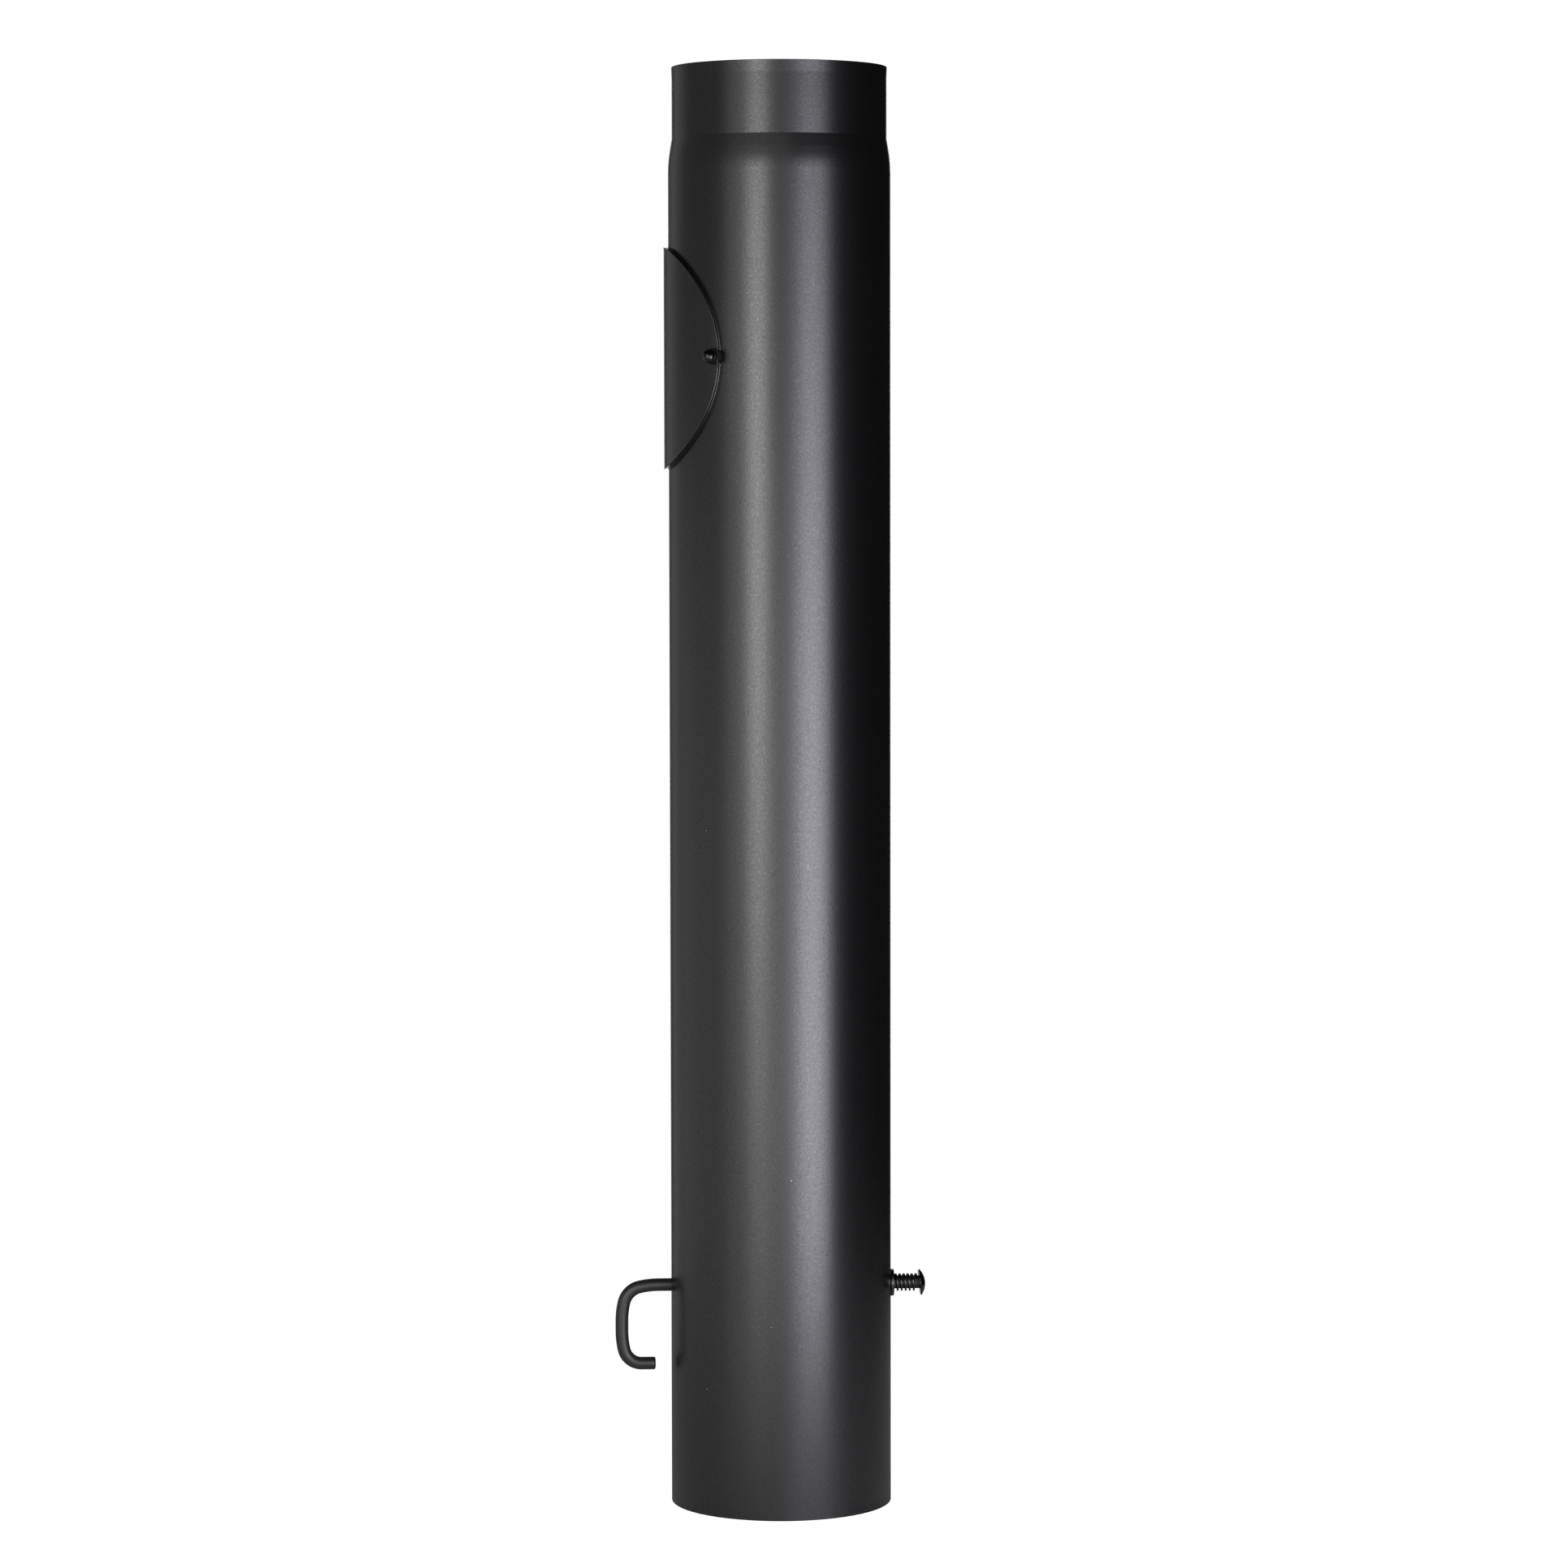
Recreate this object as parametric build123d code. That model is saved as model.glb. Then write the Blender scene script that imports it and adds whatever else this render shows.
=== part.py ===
from build123d import *
import os
from math import cos, pi, radians, sin, tan

# Stove pipe of rolled and welded sheet steel, with a cleaning door and a throttle damper.
# The pipe's axis is Z and its lower end face is z = 0. The door and the damper's handle face -X.
# All sizes are in millimetres.

# Pipe
bore = 150.0              # inside diameter, the size the pipe is sold by
wall = 2.0                # thickness of the sheet
pipe_length = 1000.0      # over both ends
edge_round = 0.3          # deburred edges at both ends; the socket's inner edge is left square
socket_depth = 60.0       # sized stretch at the lower end, which takes the next spigot
socket_ease = 0.3         # the socket's radius is larger than the bore's by this
socket_taper = 3.0        # length of the taper from socket to bore
spigot_diameter = 148.7   # narrowed upper end, which goes into the next socket
spigot_length = 49.3      # from the crease of the shoulder to the upper end
flare_length = 8.0        # the spigot's mouth opens a little over this length
flare = 0.27              # by this much in radius
shoulder_angle = 9.5      # slope of the shoulder, degrees from the axis
shoulder_bend = 88.0      # radius of the bend from pipe to shoulder
seam_width = 3.0          # longitudinal weld, on the side away from the room
seam_height = 0.25        # it stands this much proud of the pipe
seam_clear = 4.0          # it is ground away this far below the shoulder

# Cleaning door
door_diameter = 152.5     # the flat blank, before it is rolled
door_thickness = 2.75
door_gap = 0.4            # between the pipe and the door
door_from_top = 200.4     # centre below the upper end
door_edge_round = 0.3
hatch_diameter = 100.0    # hole in the pipe behind the door, measured on the flat sheet
stud_diameter = 6.0
stud_inset = 2.3          # axis of each stud from the door's edge, along the sheet
stud_grip = 8.0           # thread above the nut's seat
stud_chamfer = 0.5
notch_clearance = 0.5     # between the stud and the door's open notch
nut_flats = 10.0          # cap nut, across flats
nut_hex_height = 5.0
nut_height = 12.0
nut_dome = 9.5            # diameter of the dome
nut_hole_depth = 8.6
nut_chamfer = 0.5
nut_seat_gap = 0.1        # between nut and door
thread_clearance = 0.05   # between nut and thread, in radius

# Damper rod with its handle, one bent round bar
rod_diameter = 9.0
rod_height = 152.7        # axis above the lower end
rod_clearance = 0.1       # between the rod and its holes in the pipe, in radius
handle_reach = 34.8       # from the pipe's outside to the axis of the handle's upright
handle_drop = 55.4        # from the rod's axis to the lower leg's axis
handle_leg = 23.6         # from the upright's axis to the tip
handle_upper_bend = 14.7  # bend radii at the bar's axis
handle_lower_bend = 12.6
handle_slack_bend = 60.0  # the bar springs back beside each bend, to this radius
handle_slack_turn = 12.5  # over this many degrees
tip_round = 1.6           # rounded edge at both ends of the bar

# Damper blade, screwed to the rod
blade_gap = 1.5           # between the blade and the bore when the blade is centred
blade_thickness = 1.5
blade_bearing_gap = 0.3   # the spring draws the blade over to the wall, up to this
relief_width = 46.0       # notch that lets some gas pass the closed blade
relief_depth = 46.0
relief_corner = 8.0
screw_diameter = 4.0
screw_spacing = 70.0
screw_hole_clearance = 0.15
screw_flats = 7.0
screw_head_height = 2.8
screw_end = 1.0           # thread beyond the nut
blade_nut_height = 3.2
rod_flat_depth = 0.8      # flat on the rod under each screw head
rod_flat_length = 10.0

# Washer, spring and push-on cap at the rod's other end
washer_diameter = 19.0
washer_hole = 10.5
washer_thickness = 2.0
washer_gap = 0.1          # between pipe and washer
spring_diameter = 12.5    # over the coils
spring_wire = 1.5
spring_turns = 5.4
spring_length = 16.8      # over the wire
spring_end_gap = 0.1      # at the washer
cap_diameter = 18.4
cap_lip = 0.8             # straight rim
cap_dome = 3.3            # rise of the dome above the rim
cap_sheet = 0.6
cap_tilt = 5.5            # the pushed-on cap sits askew, degrees
cap_gap = 1.3             # from the spring's end to the cap's rim, on the axis
ring_sheet = 0.5          # toothed ring inside the cap, which grips the rod
ring_grip = 0.06          # between its teeth and the rod
ring_teeth = 6
ring_slot = 1.2
ring_slot_depth = 2.0
ring_cap_gap = 0.1        # between ring and cap
rod_end_gap = 1.2         # between the rod's end and the inside of the dome

# Worked out from the sizes above
bore_radius = bore / 2
pipe_radius = bore_radius + wall
rod_radius = rod_diameter / 2
spigot_radius = spigot_diameter / 2
crease_height = pipe_length - spigot_length
door_inner = pipe_radius + door_gap
door_outer = door_inner + door_thickness
door_neutral = (door_inner + door_outer) / 2
door_height = pipe_length - door_from_top
stud_angle = (door_diameter / 2 - stud_inset) / door_neutral   # from -X, in radians
nut_seat = door_outer + nut_seat_gap
blade_radius = bore_radius - blade_gap
blade_centre = blade_gap - blade_bearing_gap
washer_face = pipe_radius + washer_gap
spring_start = washer_face + washer_thickness + spring_end_gap
cap_base = spring_start + spring_length + cap_gap
rod_end = cap_base + cap_lip + cap_dome - cap_sheet - rod_end_gap
SIDES = {"front": 1, "rear": -1}          # the front is -Y
SCREW_PLACES = {"left": -1, "right": 1}   # the left is -X


def spigot_outline(inset):
    """Half section of the narrowed end from the pipe's wall up, moved in by inset."""
    angle = radians(shoulder_angle)
    bend_drop = shoulder_bend * (1 - cos(angle))
    cone_length = (pipe_radius - spigot_radius - bend_drop) / tan(angle)
    bend_start = crease_height - cone_length - shoulder_bend * sin(angle)
    bend = JernArc((pipe_radius - inset, bend_start), (0, 1), shoulder_bend, shoulder_angle)
    crease = (spigot_radius - inset, crease_height)
    mouth = (spigot_radius - inset, pipe_length - flare_length)
    rim = (spigot_radius + flare - inset, pipe_length)
    return [bend, Line(bend @ 1, crease), Line(crease, mouth), Line(mouth, rim)]


def shoulder_start():
    """Height at which the pipe begins to narrow."""
    return (spigot_outline(0)[0] @ 0).Y


def radial_wedge(flat_diameter, neutral_radius):
    """Wedge towards -X whose sides all point at the pipe's axis. It cuts, from sheet rolled to
    the neutral radius, what was a round blank of this diameter when the sheet was flat."""
    outline_count = 24
    shares = [step / outline_count for step in range(outline_count + 1)]
    faces = []
    for reach in (bore_radius / 4, 2 * pipe_radius):
        points = []
        for share in shares[:-1]:
            angle = flat_diameter / 2 * cos(2 * pi * share) / neutral_radius
            height = door_height + flat_diameter / 2 * sin(2 * pi * share)
            points.append((-reach, reach * tan(angle), height))
        outline = Edge.make_spline(points, periodic=True, parameters=shares)
        faces.append(Face(Wire([outline])))
    return loft(faces, ruled=True)


def stud_plane(distance):
    """Plane square to the front stud's axis, this far from the pipe's axis; its X is up."""
    outward = Vector(-cos(stud_angle), -sin(stud_angle), 0)
    return Plane(outward * distance + Vector(0, 0, door_height), x_dir=(0, 0, 1), z_dir=outward)


def on_side(shape, side):
    """The front shape as it is, or its mirror image at the rear."""
    return shape if side > 0 else mirror(shape, about=Plane.XZ)


def hexagon(flats, height, chamfer_size):
    """Hexagonal prism on z = 0 with its corners chamfered at both ends."""
    corner = flats / 2 / cos(pi / 6)
    prism = extrude(RegularPolygon(corner, 6), height)
    blank = Pos(0, 0, height / 2) * Cylinder(corner, height)
    blank = chamfer(blank.edges().filter_by(GeomType.CIRCLE), chamfer_size / 2, chamfer_size)
    return prism & blank


def rod_bore(radius):
    """Bar along the rod's axis, longer than the whole object."""
    return Pos(0, 0, rod_height) * Rot(0, 90, 0) * Cylinder(radius, 4 * pipe_radius)


def pipe_body():
    outer = spigot_outline(0)
    inner = spigot_outline(wall)
    socket_radius = bore_radius + socket_ease
    taper_top = (bore_radius, socket_depth + socket_taper)
    lines = [
        Line((pipe_radius, 0), outer[0] @ 0), *outer, Line(outer[-1] @ 1, inner[-1] @ 1), *inner,
        Line(inner[0] @ 0, taper_top), Line(taper_top, (socket_radius, socket_depth)),
        Line((socket_radius, socket_depth), (socket_radius, 0)),
        Line((socket_radius, 0), (pipe_radius, 0)),
    ]
    tube = revolve(Plane.XZ * make_face(lines), Axis.Z)
    rings = tube.edges().filter_by(GeomType.CIRCLE).group_by(Axis.Z)
    tube = fillet(rings[-1] + rings[0].sort_by(SortBy.RADIUS)[-1:], edge_round)
    bead = Pos(0, pipe_radius - wall / 4) * Ellipse(seam_width / 2, wall / 4 + seam_height)
    tube += extrude(bead, shoulder_start() - seam_clear)
    tube -= radial_wedge(hatch_diameter, pipe_radius - wall / 2)
    tube -= rod_bore(rod_radius + rod_clearance)
    return tube


def cleaning_door():
    sheet = Cylinder(door_outer, 2 * door_diameter) - Cylinder(door_inner, 2 * door_diameter)
    plate = Pos(0, 0, door_height) * sheet & radial_wedge(door_diameter, door_neutral)
    plate = fillet(plate.edges(), door_edge_round)
    notch_radius = stud_diameter / 2 + notch_clearance
    notch = Circle(notch_radius)
    notch += Pos(0, -door_diameter / 4) * Rectangle(2 * notch_radius, door_diameter / 2)
    cut = extrude(stud_plane(pipe_radius) * notch, 2 * (door_outer - pipe_radius))
    for side in SIDES.values():
        plate -= on_side(cut, side)
    return plate


def door_stud(side):
    length = nut_seat + stud_grip - bore_radius
    stud = Pos(0, 0, length / 2) * Cylinder(stud_diameter / 2, length)
    stud = chamfer(stud.edges().group_by(Axis.Z)[-1], stud_chamfer)
    stud = stud_plane(bore_radius) * stud
    stud -= Pos(0, 0, door_height) * Cylinder(pipe_radius, door_diameter)
    return on_side(stud, side)


def cap_nut(side):
    dome_radius = nut_dome / 2
    dome_centre = nut_height - dome_radius
    nut = hexagon(nut_flats, nut_hex_height, nut_chamfer)
    nut += Pos(0, 0, dome_centre / 2) * Cylinder(dome_radius, dome_centre)
    nut += Pos(0, 0, dome_centre) * Sphere(dome_radius)
    hole_radius = stud_diameter / 2 + thread_clearance
    nut -= Pos(0, 0, nut_hole_depth / 2) * Cylinder(hole_radius, nut_hole_depth)
    return on_side(stud_plane(nut_seat) * nut, side)


def screw_axis(place):
    """Frame on the rod's axis at a blade screw, with Z to the rear, square to the blade."""
    x = blade_centre + place * screw_spacing / 2
    return Plane((x, 0, rod_height), x_dir=(1, 0, 0), z_dir=(0, 1, 0))


def bends(start, heading, *sizes):
    """Arcs of these radii and angles to the left, each of which runs on from the last one."""
    arcs = []
    for radius, angle in sizes:
        arc = JernArc(start, heading, radius, angle)
        start = arc @ 1
        heading = arc % 1
        arcs.append(arc)
    return arcs


def handle_path():
    """The bar's axis in the X-Z plane, from the capped end to the handle's tip."""
    upright = -(pipe_radius + handle_reach)
    low = rod_height - handle_drop
    slack = (handle_slack_bend, handle_slack_turn)
    upper_sizes = [slack, (handle_upper_bend, 90 - 2 * handle_slack_turn), slack]
    lower_sizes = [slack, (handle_lower_bend, 90 - handle_slack_turn)]
    upper_width = -(bends((0, 0), (-1, 0), *upper_sizes)[-1] @ 1).X
    lower_height = -(bends((0, 0), (0, -1), *lower_sizes)[-1] @ 1).Y
    upper = bends((upright + upper_width, rod_height), (-1, 0), *upper_sizes)
    lower = bends((upright, low + lower_height), (0, -1), *lower_sizes)
    rod = Line((rod_end, rod_height), upper[0] @ 0)
    leg = Line(lower[-1] @ 1, (upright + handle_leg, low))
    return Plane.XZ * Wire([rod, *upper, Line(upper[-1] @ 1, lower[0] @ 0), *lower, leg])


def damper_rod():
    path = handle_path()
    bar = sweep(Plane(path @ 0, z_dir=path % 0) * Circle(rod_radius), path)
    ends = [bar.faces().sort_by_distance(path @ 0)[0], bar.faces().sort_by_distance(path @ 1)[0]]
    bar = fillet([edge for face in ends for edge in face.edges()], tip_round)
    hole = Cylinder(screw_diameter / 2 + screw_hole_clearance, 2 * rod_diameter)
    flat = Pos(0, 0, rod_flat_depth - 1.5 * rod_radius) * Box(rod_flat_length, rod_diameter, rod_radius)
    for place in SCREW_PLACES.values():
        bar -= screw_axis(place) * hole
        bar -= screw_axis(place) * flat
    return bar


def damper_blade():
    relief_middle = blade_radius - relief_depth / 2
    relief = Pos(0, relief_middle + relief_corner) * RectangleRounded(
        relief_width, relief_depth + 2 * relief_corner, relief_corner)
    outline = Circle(blade_radius) - relief
    for place in SCREW_PLACES.values():
        hole = Circle(screw_diameter / 2 + screw_hole_clearance)
        outline -= Pos(place * screw_spacing / 2, 0) * hole
    face = Plane((blade_centre, rod_radius, rod_height), x_dir=(1, 0, 0), z_dir=(0, -1, 0))
    return extrude(face * outline, -blade_thickness)


def blade_screw(place):
    seat = rod_flat_depth - rod_radius
    end = rod_radius + blade_thickness + blade_nut_height + screw_end
    head = Pos(0, 0, seat - screw_head_height) * hexagon(screw_flats, screw_head_height, nut_chamfer)
    shank = Pos(0, 0, (seat + end) / 2) * Cylinder(screw_diameter / 2, end - seat)
    return screw_axis(place) * (head + shank)


def blade_nut(place):
    nut = hexagon(screw_flats, blade_nut_height, nut_chamfer)
    nut -= Pos(0, 0, blade_nut_height / 2) * Cylinder(
        screw_diameter / 2 + thread_clearance, blade_nut_height)
    return screw_axis(place) * Pos(0, 0, rod_radius + blade_thickness) * nut


def along_rod(x):
    """Frame on the rod's axis at x, with its Z pointing away from the pipe."""
    return Plane((x, 0, rod_height), x_dir=(0, 1, 0), z_dir=(1, 0, 0))


def rod_washer():
    washer = extrude(Circle(washer_diameter / 2) - Circle(washer_hole / 2), washer_thickness)
    washer = chamfer(washer.edges().filter_by(GeomType.CIRCLE), edge_round / 2)
    return along_rod(washer_face) * washer


def friction_spring():
    coil_radius = (spring_diameter - spring_wire) / 2
    rise = spring_length - spring_wire
    coil = Helix(rise / spring_turns, rise, coil_radius)
    wire = sweep(Plane(coil @ 0, z_dir=coil % 0) * Circle(spring_wire / 2), coil, is_frenet=True)
    return along_rod(spring_start + spring_wire / 2) * wire


def tilted_base():
    """Frame at the middle of the cap's rim, with its top leaning towards the pipe."""
    return along_rod(cap_base) * Rot(-cap_tilt, 0, 0)


def dome_radius(rim, rise):
    """Radius of the sphere whose cap has this rim radius and rise."""
    return (rim * rim + rise * rise) / (2 * rise)


def end_cap():
    outer = cap_diameter / 2
    inner = outer - cap_sheet
    top = cap_lip + cap_dome
    lines = [
        Line((inner, 0), (outer, 0)), Line((outer, 0), (outer, cap_lip)),
        RadiusArc((outer, cap_lip), (0, top), -dome_radius(outer, cap_dome)),
        Line((0, top), (0, top - cap_sheet)),
        RadiusArc((0, top - cap_sheet), (inner, cap_lip), dome_radius(inner, cap_dome - cap_sheet)),
        Line((inner, cap_lip), (inner, 0)),
    ]
    return tilted_base() * revolve(Plane.XZ * make_face(lines), Axis.Z)


def grip_ring():
    tooth_tip = rod_radius + ring_grip
    disc = Circle(cap_diameter / 2 - cap_sheet - ring_cap_gap) - Circle(tooth_tip)
    for tooth in range(ring_teeth):
        slot = Pos(tooth_tip + ring_slot_depth / 2, 0) * Rectangle(2 * ring_slot_depth, ring_slot)
        disc -= Rot(0, 0, 360 / ring_teeth * tooth) * slot
    return tilted_base() * Pos(0, 0, ring_cap_gap) * extrude(disc, ring_sheet)


nodes = {
    "pipe_body": pipe_body(),
    "cleaning_door": cleaning_door(),
    "damper_rod": damper_rod(),
    "damper_blade": damper_blade(),
    "rod_washer": rod_washer(),
    "friction_spring": friction_spring(),
    "grip_ring": grip_ring(),
    "end_cap": end_cap(),
}
for name, side in SIDES.items():
    nodes["door_stud_" + name] = door_stud(side)
    nodes["cap_nut_" + name] = cap_nut(side)
for name, place in SCREW_PLACES.items():
    nodes["blade_screw_" + name] = blade_screw(place)
    nodes["blade_nut_" + name] = blade_nut(place)

os.makedirs("parts", exist_ok=True)
for name, shape in nodes.items():
    export_step(shape, "parts/" + name + ".step")
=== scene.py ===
import math

import bmesh
import bpy
from mathutils import Matrix, Vector


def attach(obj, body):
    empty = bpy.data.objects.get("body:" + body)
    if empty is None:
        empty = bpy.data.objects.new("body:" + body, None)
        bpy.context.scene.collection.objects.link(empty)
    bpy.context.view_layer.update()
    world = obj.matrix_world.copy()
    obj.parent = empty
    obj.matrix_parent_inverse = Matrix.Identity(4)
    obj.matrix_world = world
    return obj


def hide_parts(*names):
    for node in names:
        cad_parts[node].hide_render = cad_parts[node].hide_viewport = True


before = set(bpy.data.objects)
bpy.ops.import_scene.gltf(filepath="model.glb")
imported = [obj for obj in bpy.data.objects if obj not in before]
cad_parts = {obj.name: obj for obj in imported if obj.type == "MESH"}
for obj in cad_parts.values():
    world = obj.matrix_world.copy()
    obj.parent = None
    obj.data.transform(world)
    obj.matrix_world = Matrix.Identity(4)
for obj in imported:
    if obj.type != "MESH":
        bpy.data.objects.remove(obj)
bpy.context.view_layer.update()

# The viewpoint
# The camera stands 3.5 m from the pipe, nearly three quarters of the way up it, and looks
# slightly down. The pipe is turned so that the side with the door and the handle comes a little
# forward.
PIPE_TURN = math.radians(3.2)
CAMERA_DISTANCE = 3.4824
CAMERA_ASIDE = 0.00265
CAMERA_HEIGHT = 0.7242
CAMERA_DIP = 0.0632        # radians below the horizon
CAMERA_ROLL = -0.0017
LENS = 114.86              # mm
SENSOR = 36.0              # mm


def from_viewer(turn, distance, height, dip=0.0):
    """Place at this turn to the right of the viewpoint, facing the pipe, as a camera or lamp."""
    return (
        Matrix.Rotation(turn - PIPE_TURN, 4, "Z")
        @ Matrix.Translation((0.0, -distance, height))
        @ Matrix.Rotation(math.pi / 2 - dip, 4, "X")
    )


camera = bpy.data.objects.new("camera", bpy.data.cameras.new("camera"))
camera.data.lens = LENS
camera.data.sensor_width = SENSOR
camera.data.clip_end = 50.0
camera.matrix_world = (
    from_viewer(0.0, CAMERA_DISTANCE, CAMERA_HEIGHT, CAMERA_DIP)
    @ Matrix.Translation((CAMERA_ASIDE, 0.0, 0.0))
    @ Matrix.Rotation(CAMERA_ROLL, 4, "Z")
)
bpy.context.scene.collection.objects.link(camera)
bpy.context.scene.camera = camera

# The pipe and its paint
# One metre of rolled and welded 2 mm sheet steel, narrowed at the top to plug into the next one.
# Outside it has a sprayed, stoved heat-proof paint: dark grey, matt, with a fine grain and a few
# specks. Inside the steel is bare, dull grey and faintly streaked the way it was rolled.
PAINT = "#0c0c0d"
PAINT_LIGHT = "#101011"
SPECK = "#9a9a9c"
PAINT_IOR = 1.9            # raised by the graphite in the paint
PAINT_ROUGHNESS = 0.3
ROUGHNESS_GRAIN = 0.03     # it differs from grain to grain by up to this
DULL_GRAIN = 0.3           # share of its shine that the dullest grain lacks
GRAIN = 0.001              # real grit is 0.1 mm; drawn coarser so that it shows
GRAIN_HEIGHT = 0.00005
GRAIN_LOW = 0.3            # most of the noise lies between these
GRAIN_HIGH = 0.7
CLOUDING = 0.045           # soft unevenness of the sprayed coat
SPECK_SPACING = 0.011
SPECK_SIZE = 0.045         # as a share of the spacing
SPECK_SHARE = 0.12         # of the places have one
NUT_HIGHLIGHT = "#4c4b4a"         # painted highlight: the paint is drawn lighter beside the cap nuts, where the door's edge catches the light
NUT_HIGHLIGHT_NEAR = 0.012        # from the nuts' height; the painted highlight is full up to here
NUT_HIGHLIGHT_FAR = 0.042         # and not at all from here
BARE_STEEL = "#a3a19d"
BARE_SHINE = 0.4           # metallic share: a thin dull film of oil and scale lies on it
BARE_ROUGHNESS = (0.34, 0.5)
STEEL_STREAK = 0.0015      # width of a rolling streak
STREAK_STRETCH = (0.02, 0.02, 1.0)   # the streaks run round the pipe
FACES_IN = -0.5            # cosine to the outward direction, below which a face looks inwards


def linear(text):
    """Linear colour with alpha from an sRGB hex value."""
    channels = [int(text[i:i + 2], 16) / 255 for i in (1, 3, 5)]
    return (*[c / 12.92 if c <= 0.04045 else ((c + 0.055) / 1.055) ** 2.4 for c in channels], 1.0)


def add(tree, kind, inputs, out=0, **settings):
    """Adds a node and gives one of its outputs. inputs maps sockets to values or outputs."""
    node = tree.nodes.new(kind)
    for name, value in settings.items():
        setattr(node, name, value)
    for key, value in inputs.items():
        if isinstance(value, bpy.types.NodeSocket):
            tree.links.new(value, node.inputs[key])
        else:
            node.inputs[key].default_value = value
    return node.outputs[out] if node.outputs else None


def new_material(name):
    """An empty material and its node tree."""
    material = bpy.data.materials.new(name)
    material.use_nodes = True
    material.node_tree.nodes.clear()
    return material, material.node_tree


def coat(material, *names):
    """Gives these CAD nodes this finish."""
    for name in names:
        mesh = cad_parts[name].data
        for slot in range(len(mesh.materials)):
            mesh.materials[slot] = material


def heat_proof_paint(name, bare_inside=False, highlight_at=None):
    """Matt sprayed paint, left off inside the pipe, or drawn lighter near this height as a painted
    highlight.
    """
    material, tree = new_material(name)
    place = add(tree, "ShaderNodeTexCoord", {}, "Object")
    grain = add(tree, "ShaderNodeTexNoise", {"Vector": place, "Scale": 1 / GRAIN, "Detail": 2.0})
    clouds = add(tree, "ShaderNodeTexNoise", {
        "Vector": place, "Scale": 1 / CLOUDING, "Detail": 3.0})
    spacing = {"Vector": place, "Scale": 1 / SPECK_SPACING}
    cells = add(tree, "ShaderNodeTexVoronoi", spacing)
    chance = add(tree, "ShaderNodeTexVoronoi", spacing, "Color")
    near = add(tree, "ShaderNodeMath", {0: cells, 1: SPECK_SIZE}, operation="LESS_THAN")
    chosen = add(tree, "ShaderNodeMath", {0: chance, 1: SPECK_SHARE}, operation="LESS_THAN")
    speck = add(tree, "ShaderNodeMath", {0: near, 1: chosen}, operation="MULTIPLY")
    colour = add(tree, "ShaderNodeMix", {
        0: clouds, 6: linear(PAINT), 7: linear(PAINT_LIGHT)}, 2, data_type="RGBA")
    colour = add(tree, "ShaderNodeMix", {
        0: speck, 6: colour, 7: linear(SPECK)}, 2, data_type="RGBA")
    # painted highlight: lighter paint near the nuts' height, where the edge catches the light
    if highlight_at is not None:
        above = add(tree, "ShaderNodeVectorMath", {
            0: place, 1: (0.0, 0.0, 1.0), 2: (0.0, 0.0, -highlight_at)}, operation="MULTIPLY_ADD")
        away = add(tree, "ShaderNodeVectorMath", {0: above}, "Value", operation="LENGTH")
        highlight_share = add(tree, "ShaderNodeMapRange", {
            "Value": away, "From Min": NUT_HIGHLIGHT_NEAR, "From Max": NUT_HIGHLIGHT_FAR,
            "To Min": 1.0, "To Max": 0.0})
        colour = add(tree, "ShaderNodeMix", {
            0: highlight_share, 6: colour, 7: linear(NUT_HIGHLIGHT)}, 2, data_type="RGBA")
    height = add(tree, "ShaderNodeBump", {
        "Height": grain, "Strength": 1.0, "Distance": GRAIN_HEIGHT})
    rough = add(tree, "ShaderNodeMapRange", {
        "Value": grain, "From Min": GRAIN_LOW, "From Max": GRAIN_HIGH,
        "To Min": PAINT_ROUGHNESS + ROUGHNESS_GRAIN, "To Max": PAINT_ROUGHNESS - ROUGHNESS_GRAIN})
    dull = add(tree, "ShaderNodeMapRange", {
        "Value": grain, "From Min": GRAIN_LOW, "From Max": GRAIN_HIGH,
        "To Min": DULL_GRAIN, "To Max": 0.0})
    finish = {"Base Color": colour, "Roughness": rough, "Metallic": dull, "IOR": PAINT_IOR,
              "Normal": height}
    if bare_inside:
        facing = add(tree, "ShaderNodeTexCoord", {}, "Normal")
        flat = add(tree, "ShaderNodeVectorMath", {
            0: place, 1: (1.0, 1.0, 0.0)}, operation="MULTIPLY")
        outward = add(tree, "ShaderNodeVectorMath", {0: flat}, operation="NORMALIZE")
        turned = add(tree, "ShaderNodeVectorMath", {
            0: facing, 1: outward}, "Value", operation="DOT_PRODUCT")
        inside = add(tree, "ShaderNodeMath", {0: turned, 1: FACES_IN}, operation="LESS_THAN")
        lines = add(tree, "ShaderNodeMapping", {"Vector": place, "Scale": STREAK_STRETCH})
        streaks = add(tree, "ShaderNodeTexNoise", {
            "Vector": lines, "Scale": 1 / STEEL_STREAK, "Detail": 3.0})
        bare_rough = add(tree, "ShaderNodeMapRange", {
            "Value": streaks, "To Min": BARE_ROUGHNESS[0], "To Max": BARE_ROUGHNESS[1]})
        finish["Base Color"] = add(tree, "ShaderNodeMix", {
            0: inside, 6: colour, 7: linear(BARE_STEEL)}, 2, data_type="RGBA")
        finish["Roughness"] = add(tree, "ShaderNodeMix", {
            0: inside, 2: rough, 3: bare_rough}, data_type="FLOAT")
        finish["Metallic"] = add(tree, "ShaderNodeMix", {
            0: inside, 2: dull, 3: BARE_SHINE}, data_type="FLOAT")
    shader = add(tree, "ShaderNodeBsdfPrincipled", finish)
    add(tree, "ShaderNodeOutputMaterial", {"Surface": shader})
    return material


coat(heat_proof_paint("stoved_heat_proof_paint_over_bare_steel", bare_inside=True), "pipe_body")

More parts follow.
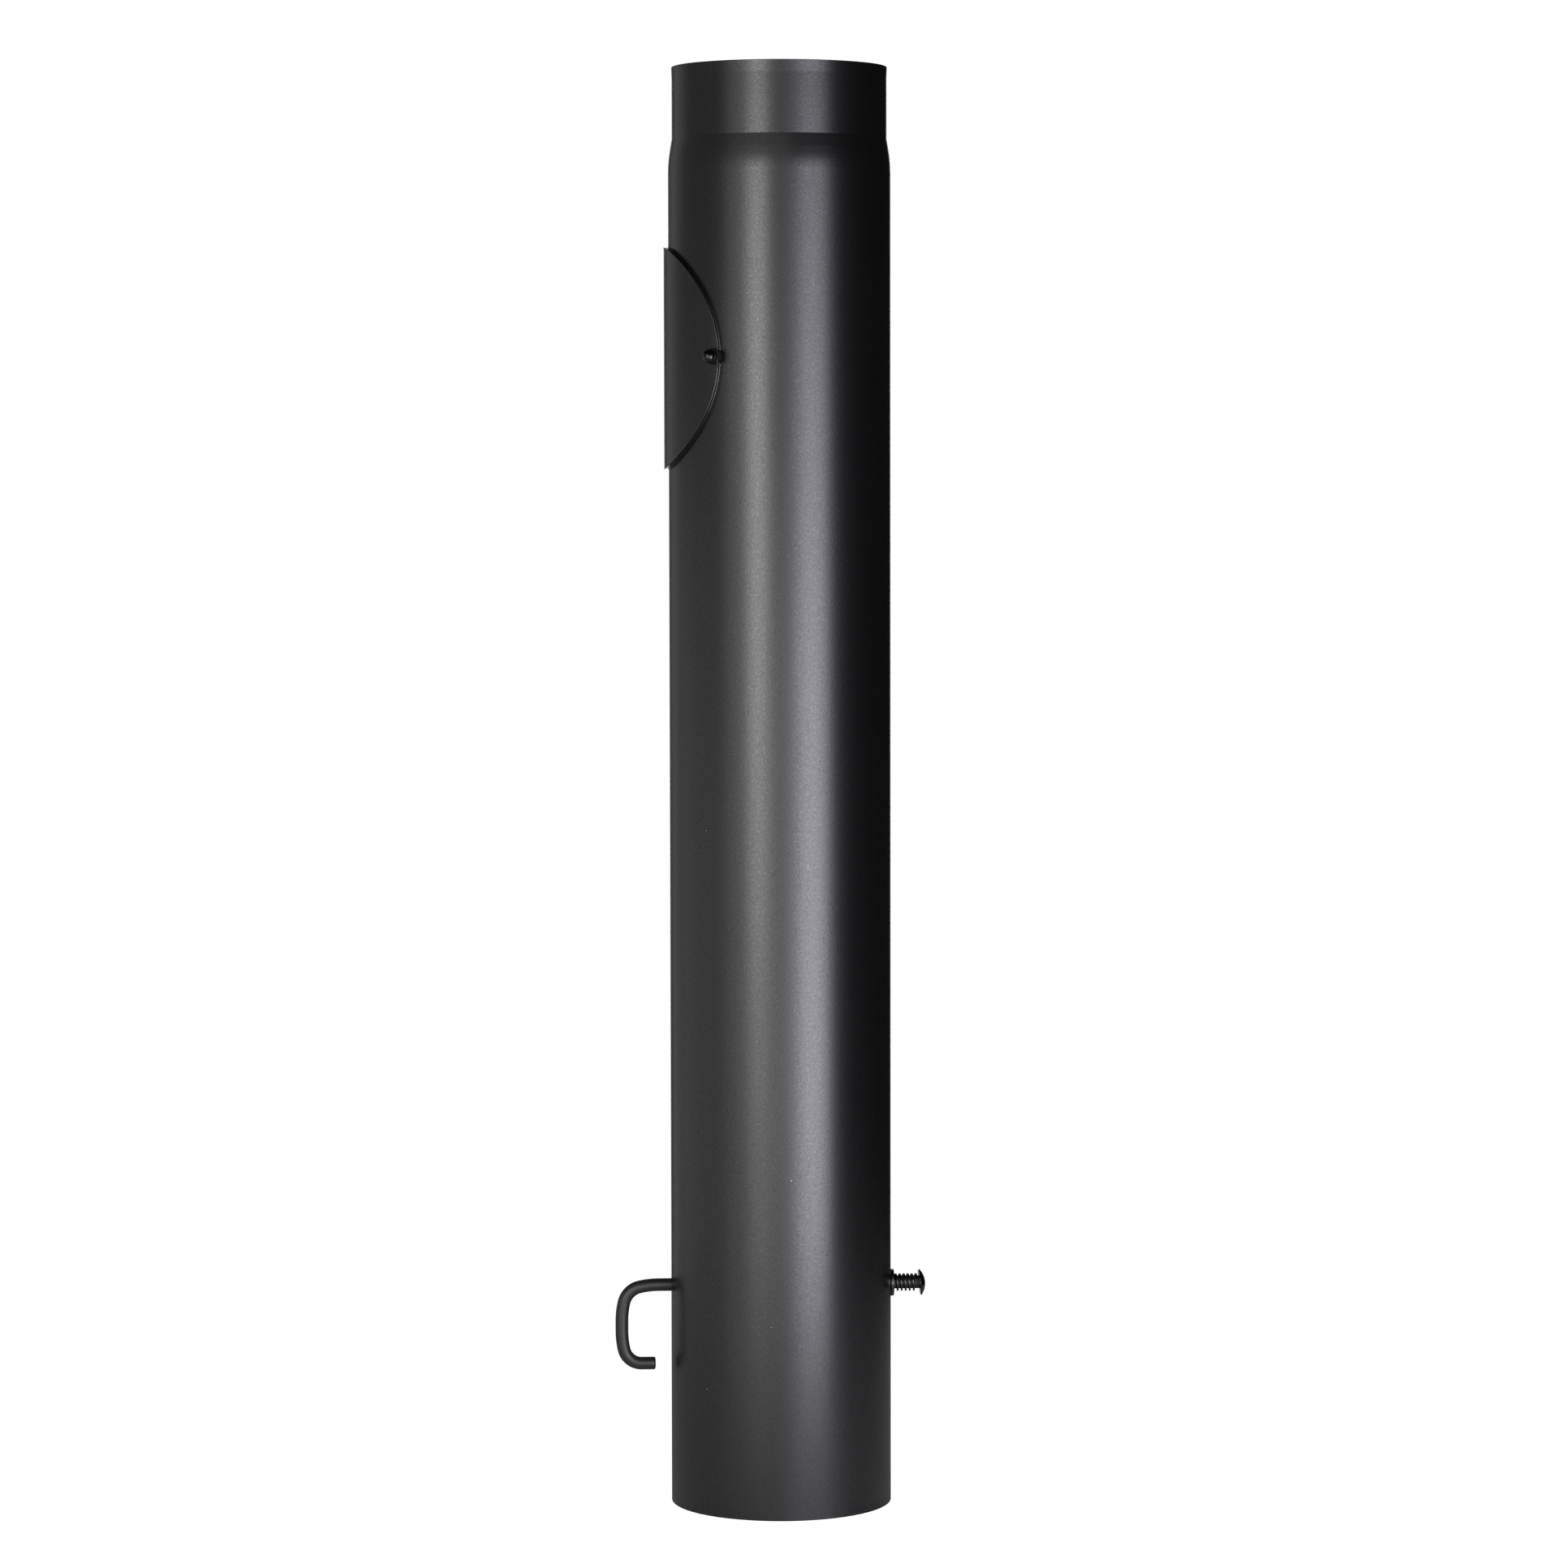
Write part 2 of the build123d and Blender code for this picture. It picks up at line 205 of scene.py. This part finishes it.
# The cleaning door
# A disc of the same sheet, rolled to lie close round the pipe over the hatch, and painted all over.
# Two notches in its edge slip over the studs, where the cap nuts hold it down. The paint has run
# to a thin bead along both rims of the cut edge, which catches the light.
DOOR_HEIGHT = 0.7996
DOOR_RADIUS = 0.07625
DOOR_INNER = 0.0774        # from the pipe's axis
DOOR_OUTER = 0.08015
BEAD = 0.0003              # radius of the bead of paint
INNER_BREAK = 0.0042       # the inner bead stops this far from the nuts' height
OUTER_BREAK = 0.0062
BEAD_SIDES = 8
BEAD_STEPS = 180           # round the door


def make_object(name, mesh, material):
    """An object at the origin from a bmesh, with this finish."""
    data = bpy.data.meshes.new(name)
    mesh.to_mesh(data)
    mesh.free()
    data.materials.append(material)
    piece = bpy.data.objects.new(name, data)
    bpy.context.scene.collection.objects.link(piece)
    return piece


def edge_bead(rim, gap):
    """Ring round the flat door, cut away at the nuts and then rolled to the radius of this rim."""
    bead = bmesh.new()
    bmesh.ops.create_circle(bead, segments=BEAD_SIDES, radius=BEAD)
    bmesh.ops.translate(bead, verts=bead.verts[:], vec=(DOOR_RADIUS, 0.0, 0.0))
    bmesh.ops.spin(bead, geom=bead.verts[:] + bead.edges[:], cent=(0, 0, 0), axis=(0, 1, 0),
                   angle=2 * math.pi, steps=BEAD_STEPS, use_merge=True)
    bmesh.ops.remove_doubles(bead, verts=bead.verts[:], dist=BEAD / 100)
    for side in (-1, 1):
        bmesh.ops.bisect_plane(bead, geom=bead.verts[:] + bead.edges[:] + bead.faces[:],
                               plane_co=(0, 0, side * gap), plane_no=(0, 0, side))
    at_nuts = [face for face in bead.faces if abs(face.calc_center_median().z) < gap]
    bmesh.ops.delete(bead, geom=at_nuts, context="FACES")
    bmesh.ops.holes_fill(bead, edges=bead.edges[:])
    for corner in bead.verts:
        turn = corner.co.x / ((DOOR_INNER + DOOR_OUTER) / 2)
        out = rim + corner.co.y
        corner.co = (-out * math.cos(turn), -out * math.sin(turn), DOOR_HEIGHT + corner.co.z)
    bead.normal_update()
    bmesh.ops.recalc_face_normals(bead, faces=bead.faces[:])
    for face in bead.faces:
        face.smooth = True
    return bead


coat(heat_proof_paint("stoved_heat_proof_paint"), "cleaning_door")
# Near the nuts the beads are drawn lighter: a painted highlight of the edge catching the light.
highlighted_paint = heat_proof_paint("heat_proof_paint_with_painted_highlight", highlight_at=DOOR_HEIGHT)
for name, rim, gap in (("inner", DOOR_INNER, INNER_BREAK), ("outer", DOOR_OUTER, OUTER_BREAK)):
    piece = make_object("paint_bead_" + name, edge_bead(rim, gap), highlighted_paint)
    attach(piece, "door")

# The studs of the door
# M6 thread welded to the pipe, zinc-plated: bright, slightly bluish, with sharp rolled crests.
ZINC = "#b4b7ba"
ZINC_SPANGLE = 0.0012
ZINC_ROUGHNESS = (0.2, 0.38)
STUD_RADIUS = 0.003
STUD_PITCH = 0.001
STUD_THREAD_DEPTH = 0.0006
STUD_STEPS = 24            # faces round the thread
# height from root 0 to crest 1, and share of the pitch
THREAD_PROFILE = ((0, 0.0), (1, 0.4), (1, 0.55), (0, 0.95), (0, 1.0))
THREAD_START = 2.27        # pitches below the foot, so that no corner lies on a cut
STUD_FOOT = 0.0762         # from the pipe's axis, a little way into its wall
STUD_END = 0.08825
STUD_ANGLE = math.radians(53.787)   # from -X


def zinc_plating():
    """Bright passivated zinc on small steel fasteners."""
    material, tree = new_material("bright_zinc_plating")
    place = add(tree, "ShaderNodeTexCoord", {}, "Object")
    spangle = add(tree, "ShaderNodeTexNoise", {"Vector": place, "Scale": 1 / ZINC_SPANGLE})
    rough = add(tree, "ShaderNodeMapRange", {
        "Value": spangle, "To Min": ZINC_ROUGHNESS[0], "To Max": ZINC_ROUGHNESS[1]})
    shader = add(tree, "ShaderNodeBsdfPrincipled", {
        "Base Color": linear(ZINC), "Metallic": 1.0, "Roughness": rough})
    add(tree, "ShaderNodeOutputMaterial", {"Surface": shader})
    return material


def threaded_bar(radius, pitch, depth, length, steps):
    """Bar on Z from z = 0 with a thread along its whole length."""
    bar = bmesh.new()
    turns = math.ceil(length / pitch) + 3
    corners = [bar.verts.new((radius - depth * (1 - crest), 0.0, (share - THREAD_START) * pitch))
               for crest, share in THREAD_PROFILE]
    edges = [bar.edges.new(pair) for pair in zip(corners, corners[1:])]
    bmesh.ops.spin(bar, geom=corners + edges, cent=(0, 0, 0), axis=(0, 0, 1),
                   dvec=(0, 0, pitch / steps), angle=2 * math.pi * turns, steps=steps * turns)
    bmesh.ops.remove_doubles(bar, verts=bar.verts[:], dist=radius / 1000)
    for z, keep_above in ((0.0, True), (length, False)):
        bmesh.ops.bisect_plane(bar, geom=bar.verts[:] + bar.edges[:] + bar.faces[:],
                               plane_co=(0, 0, z), plane_no=(0, 0, 1),
                               clear_inner=keep_above, clear_outer=not keep_above)
    bmesh.ops.holes_fill(bar, edges=bar.edges[:])
    bmesh.ops.recalc_face_normals(bar, faces=bar.faces[:])
    return bar


zinc = zinc_plating()
for name, side in (("front", -1), ("rear", 1)):
    outward = Vector((-math.cos(STUD_ANGLE), side * math.sin(STUD_ANGLE), 0.0))
    stud = threaded_bar(
        STUD_RADIUS, STUD_PITCH, STUD_THREAD_DEPTH, STUD_END - STUD_FOOT, STUD_STEPS)
    foot = outward * STUD_FOOT + Vector((0.0, 0.0, DOOR_HEIGHT))
    leaning = outward.to_track_quat("Z", "Y").to_matrix().to_4x4()
    stud.transform(Matrix.Translation(foot) @ leaning)
    piece = make_object("threaded_stud_" + name, stud, zinc)
    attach(piece, "pipe")
    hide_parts("door_stud_" + name)

# The cap nuts
# Domed M6 hexagon nuts in hard black lacquer: deep black, glossy, with small sharp highlights.
LACQUER = "#060607"
LACQUER_IOR = 1.6
LACQUER_ROUGHNESS = (0.08, 0.14)
LACQUER_PEEL = 0.0015      # width of the soft waves in the lacquer
PEEL_HEIGHT = 0.00002


def black_lacquer():
    """Glossy black lacquer on small parts."""
    material, tree = new_material("black_lacquer")
    place = add(tree, "ShaderNodeTexCoord", {}, "Object")
    peel = add(tree, "ShaderNodeTexNoise", {"Vector": place, "Scale": 1 / LACQUER_PEEL})
    rough = add(tree, "ShaderNodeMapRange", {
        "Value": peel, "To Min": LACQUER_ROUGHNESS[0], "To Max": LACQUER_ROUGHNESS[1]})
    height = add(tree, "ShaderNodeBump", {
        "Height": peel, "Strength": 1.0, "Distance": PEEL_HEIGHT})
    shader = add(tree, "ShaderNodeBsdfPrincipled", {
        "Base Color": linear(LACQUER), "Roughness": rough, "IOR": LACQUER_IOR, "Normal": height})
    add(tree, "ShaderNodeOutputMaterial", {"Surface": shader})
    return material


lacquer = black_lacquer()
coat(lacquer, "cap_nut_front", "cap_nut_rear")

# The damper's rod and handle
# One 9 mm drawn bar, bent to a handle, in satin black paint: smoother than the pipe's, with the
# faint unevenness of the drawn bar under it. The end under the spring is drawn near black and
# rougher: painted shade, for the shade that falls between the coils.
ROD_BLACK = "#1f1f1e"
ROD_IOR = 1.65
ROD_ROUGHNESS = (0.37, 0.47)
DRAWING_LINE = 0.0008      # unevenness of drawn bar
LINE_HEIGHT = 0.00003
# black oxide of the spring and washer; also the painted shade on the rod's end under the spring
BLACKENED_AND_SHADE = "#060606"
SPRING_SHADE_FROM = 0.0775    # the pipe's outside; the painted shade on the rod begins here
SPRING_SHADE_ROUGHNESS = 0.65


def satin_black():
    """Satin black paint over drawn bar, with painted shade on its end under the spring."""
    material, tree = new_material("satin_black_paint")
    place = add(tree, "ShaderNodeTexCoord", {}, "Object")
    lines = add(tree, "ShaderNodeTexNoise", {
        "Vector": place, "Scale": 1 / DRAWING_LINE, "Detail": 2.0})
    rough = add(tree, "ShaderNodeMapRange", {
        "Value": lines, "To Min": ROD_ROUGHNESS[0], "To Max": ROD_ROUGHNESS[1]})
    along = add(tree, "ShaderNodeSeparateXYZ", {0: place})
    # painted shade: the rod's end under the spring is drawn near black, for the shade between the
    # coils
    shaded_under_spring = add(tree, "ShaderNodeMath", {
        0: along, 1: SPRING_SHADE_FROM}, operation="GREATER_THAN")
    colour = add(tree, "ShaderNodeMix", {
        0: shaded_under_spring, 6: linear(ROD_BLACK), 7: linear(BLACKENED_AND_SHADE)}, 2, data_type="RGBA")
    rough = add(tree, "ShaderNodeMix", {
        0: shaded_under_spring, 2: rough, 3: SPRING_SHADE_ROUGHNESS}, data_type="FLOAT")
    height = add(tree, "ShaderNodeBump", {
        "Height": lines, "Strength": 1.0, "Distance": LINE_HEIGHT})
    shader = add(tree, "ShaderNodeBsdfPrincipled", {
        "Base Color": colour, "Roughness": rough, "IOR": ROD_IOR, "Normal": height})
    add(tree, "ShaderNodeOutputMaterial", {"Surface": shader})
    return material


coat(satin_black(), "damper_rod")

# The damper's blade
# A disc of bare rolled steel sheet with a notch that always lets some gas pass. It has fine
# parallel rolling lines and a dull, slightly blotchy oiled surface.
BLADE_STEEL = "#7b7a78"
BLADE_STEEL_LIGHT = "#8c8b89"
BLADE_ROUGHNESS = (0.3, 0.46)
ROLLING_LINE = 0.0006
ROLLING_STRETCH = (0.01, 1.0, 1.0)   # the lines run along the rod
ROLLING_DEPTH = 0.00001
BLOTCH = 0.02


def rolled_steel():
    """Bare cold-rolled sheet."""
    material, tree = new_material("bare_rolled_sheet")
    place = add(tree, "ShaderNodeTexCoord", {}, "Object")
    along = add(tree, "ShaderNodeMapping", {"Vector": place, "Scale": ROLLING_STRETCH})
    lines = add(tree, "ShaderNodeTexNoise", {
        "Vector": along, "Scale": 1 / ROLLING_LINE, "Detail": 2.0})
    blotches = add(tree, "ShaderNodeTexNoise", {
        "Vector": place, "Scale": 1 / BLOTCH, "Detail": 4.0})
    colour = add(tree, "ShaderNodeMix", {
        0: blotches, 6: linear(BLADE_STEEL), 7: linear(BLADE_STEEL_LIGHT)}, 2, data_type="RGBA")
    rough = add(tree, "ShaderNodeMapRange", {
        "Value": lines, "To Min": BLADE_ROUGHNESS[0], "To Max": BLADE_ROUGHNESS[1]})
    height = add(tree, "ShaderNodeBump", {
        "Height": lines, "Strength": 1.0, "Distance": ROLLING_DEPTH})
    shader = add(tree, "ShaderNodeBsdfPrincipled", {
        "Base Color": colour, "Metallic": 1.0, "Roughness": rough, "Normal": height})
    add(tree, "ShaderNodeOutputMaterial", {"Surface": shader})
    return material


coat(rolled_steel(), "damper_blade")

# The screws of the blade
# Two zinc-plated M4 hexagon screws with nuts, which pin the blade to flats on the rod.
coat(zinc, "blade_screw_left", "blade_screw_right", "blade_nut_left", "blade_nut_right")

# Washer, spring and cap
# Blackened steel: the washer and the coil spring press against the pipe and hold the damper where
# it is set, and a domed push-on cap with a toothed ring inside keeps them on the rod.
OILED_IOR = 2.0            # black oxide shines more than paint
OILED_ROUGHNESS = (0.2, 0.34)


def blackened_steel():
    """Black oxide on spring steel, a little oily."""
    material, tree = new_material("blackened_spring_steel")
    place = add(tree, "ShaderNodeTexCoord", {}, "Object")
    marks = add(tree, "ShaderNodeTexNoise", {
        "Vector": place, "Scale": 1 / DRAWING_LINE, "Detail": 3.0})
    rough = add(tree, "ShaderNodeMapRange", {
        "Value": marks, "To Min": OILED_ROUGHNESS[0], "To Max": OILED_ROUGHNESS[1]})
    shader = add(tree, "ShaderNodeBsdfPrincipled", {
        "Base Color": linear(BLACKENED_AND_SHADE), "Roughness": rough, "IOR": OILED_IOR})
    add(tree, "ShaderNodeOutputMaterial", {"Surface": shader})
    return material


coat(blackened_steel(), "rod_washer", "friction_spring")
coat(lacquer, "end_cap")
coat(zinc, "grip_ring")

# The floor and the background
# A round white board. Near the pipe it takes the pipe's shadow, and towards its edge it runs out
# to the plain white of the background.
FLOOR = "#f4f4f4"
FLOOR_RADIUS = 0.9
FLOOR_SIDES = 96
FLOOR_DROP = 0.0003        # under the pipe's rim
SHADOW_REACH = 0.25        # the board begins to run out this far from the pipe's axis
WHITE_REACH = 0.85
FLOOR_LIFT = 0.9           # the board's own white, so that only the shadow is darker than white

disc = bmesh.new()
bmesh.ops.create_circle(disc, cap_ends=True, segments=FLOOR_SIDES, radius=FLOOR_RADIUS)
bmesh.ops.translate(disc, verts=disc.verts[:], vec=(0.0, 0.0, -FLOOR_DROP))
white_board, tree = new_material("white_board")
place = add(tree, "ShaderNodeTexCoord", {}, "Object")
away = add(tree, "ShaderNodeVectorMath", {0: place}, "Value", operation="LENGTH")
run_out = add(tree, "ShaderNodeMapRange", {
    "Value": away, "From Min": SHADOW_REACH, "From Max": WHITE_REACH},
    interpolation_type="SMOOTHSTEP")
seen = add(tree, "ShaderNodeLightPath", {}, "Is Camera Ray")
white_part = add(tree, "ShaderNodeMath", {0: run_out, 1: seen}, operation="MULTIPLY")
lift = add(tree, "ShaderNodeMath", {0: seen, 1: FLOOR_LIFT}, operation="MULTIPLY")
surface = add(tree, "ShaderNodeBsdfDiffuse", {"Color": linear(FLOOR)})
glow = add(tree, "ShaderNodeEmission", {"Color": (1, 1, 1, 1), "Strength": lift})
near_part = add(tree, "ShaderNodeAddShader", {0: surface, 1: glow})
white = add(tree, "ShaderNodeEmission", {"Color": (1, 1, 1, 1), "Strength": 1.0})
result = add(tree, "ShaderNodeMixShader", {0: white_part, 1: near_part, 2: white})
add(tree, "ShaderNodeOutputMaterial", {"Surface": result})
floor = make_object("floor", disc, white_board)
floor.visible_shadow = False   # the low lamps reach the foot, as off a satin board

# The surroundings
# They are plain white for the camera. The black paint mirrors a dark studio, with a dim backdrop
# that hangs behind the pipe, more to the left.
BACKDROP_TURN = -160       # degrees to the right of the viewpoint, so this is behind on the left
BACKDROP_HALF_WIDTH = 14
BACKDROP_EDGE = 22         # degrees over which it fades out
BACKDROP_LIGHT = 0.07
STUDIO = 0.01              # light that the dark studio itself gives

world = bpy.data.worlds.new("studio")
bpy.context.scene.world = world
world.use_nodes = True
tree = world.node_tree
tree.nodes.clear()
direction = add(tree, "ShaderNodeTexCoord", {}, "Generated")
flat = add(tree, "ShaderNodeVectorMath", {0: direction, 1: (1.0, 1.0, 0.0)}, operation="MULTIPLY")
level = add(tree, "ShaderNodeVectorMath", {0: flat}, operation="NORMALIZE")
to_backdrop = Matrix.Rotation(math.radians(BACKDROP_TURN) - PIPE_TURN, 3, "Z") @ Vector((0, -1, 0))
alike = add(tree, "ShaderNodeVectorMath", {
    0: level, 1: to_backdrop}, "Value", operation="DOT_PRODUCT")
backdrop = add(tree, "ShaderNodeMapRange", {
    "Value": alike,
    "From Min": math.cos(math.radians(BACKDROP_HALF_WIDTH + BACKDROP_EDGE)),
    "From Max": math.cos(math.radians(BACKDROP_HALF_WIDTH)),
    "To Min": STUDIO, "To Max": BACKDROP_LIGHT})
seen = add(tree, "ShaderNodeLightPath", {}, "Is Camera Ray")
through = add(tree, "ShaderNodeLightPath", {}, "Is Transmission Ray")
white_rays = add(tree, "ShaderNodeMath", {0: seen, 1: through}, operation="MAXIMUM")
strength = add(tree, "ShaderNodeMath", {0: white_rays, 1: backdrop}, operation="MAXIMUM")
surround = add(tree, "ShaderNodeBackground", {"Color": (1, 1, 1, 1), "Strength": strength})
add(tree, "ShaderNodeOutputWorld", {"Surface": surround})

# The lamps
# Tall softboxes stand side by side in an arc from the left round to the front right. Two bright
# strips give the long highlights, and the even panels between and beside them the greys. They end
# or grow dim a little above the pipe's shoulder, which stays dark for it, and the right side has
# none. Two more stand behind the pipe and light its back.
LAMP_DISTANCE = 2.2
# name, from and to in degrees to the right of the viewpoint, bottom, top, radiance, colour
LAMPS = (
    ("behind_left", -150, -120, -0.9, 1.6, 0.24, "#ffffff"),
    ("behind", 167, 193, -0.9, 1.6, 1.7, "#ffffff"),
    ("left_wall", -120, -56, -0.9, 0.7, 0.4, "#ffffff"),
    ("left_wall_top", -120, -56, 0.7, 2.2, 0.14, "#ffffff"),
    ("left_front", -56, -32, -0.2, 1.2, 0.85, "#ffffff"),
    ("left_front_top", -56, -32, 1.2, 2.2, 0.35, "#ffffff"),
    ("left_strip_foot", -32, -13, -0.9, 0.2, 1.3, "#ffffff"),
    ("left_strip", -32, -13, 0.2, 1.2, 4.4, "#ffffff"),
    ("left_strip_top", -32, -13, 1.2, 2.2, 0.4, "#ffffff"),
    ("middle", -13, 12, -0.9, 0.7, 1.1, "#ffffff"),
    ("middle_top", -13, 12, 0.7, 2.2, 0.35, "#ffffff"),
    ("right_strip_left_edge", 12, 22, -0.9, 0.7, 2.9, "#f6f4ff"),
    ("right_strip_left_edge_top", 12, 22, 0.7, 1.2, 1.2, "#f6f4ff"),
    ("right_strip", 22, 40, -0.9, 0.7, 5.3, "#f6f4ff"),
    ("right_strip_top", 22, 40, 0.7, 1.2, 3.1, "#f6f4ff"),
    ("right_strip_right_edge", 40, 50, -0.9, 0.7, 4.1, "#f6f4ff"),
    ("right_strip_right_edge_top", 40, 50, 0.7, 1.2, 2.4, "#f6f4ff"),
)
for name, left, right, bottom, top, radiance, colour in LAMPS:
    lamp = bpy.data.lights.new(name, "AREA")
    lamp.shape = "RECTANGLE"
    lamp.size = 2 * LAMP_DISTANCE * math.tan(math.radians((right - left) / 2))
    lamp.size_y = top - bottom
    lamp.energy = radiance * math.pi * lamp.size * lamp.size_y
    lamp.color = linear(colour)[:3]
    softbox = bpy.data.objects.new(name, lamp)
    turn = math.radians((left + right) / 2)
    softbox.matrix_world = from_viewer(turn, LAMP_DISTANCE, (bottom + top) / 2)
    softbox.visible_camera = False
    bpy.context.scene.collection.objects.link(softbox)

# The light that falls in at the open end
# It stands for a white ceiling over the pipe. It lies just inside the narrowed end and shines down
# the bore, so that the bare steel shows from above, and none of it reaches the outside.
MOUTH_RADIUS = 0.068
MOUTH_HEIGHT = 0.99
MOUTH_RADIANCE = 0.9
ceiling = bpy.data.lights.new("open_end", "AREA")
ceiling.shape = "DISK"
ceiling.size = 2 * MOUTH_RADIUS
ceiling.energy = MOUTH_RADIANCE * math.pi * math.pi * MOUTH_RADIUS ** 2
mouth = bpy.data.objects.new("open_end", ceiling)
mouth.location = (0.0, 0.0, MOUTH_HEIGHT)
mouth.visible_camera = False
bpy.context.scene.collection.objects.link(mouth)

bpy.context.scene.view_settings.view_transform = "Standard"
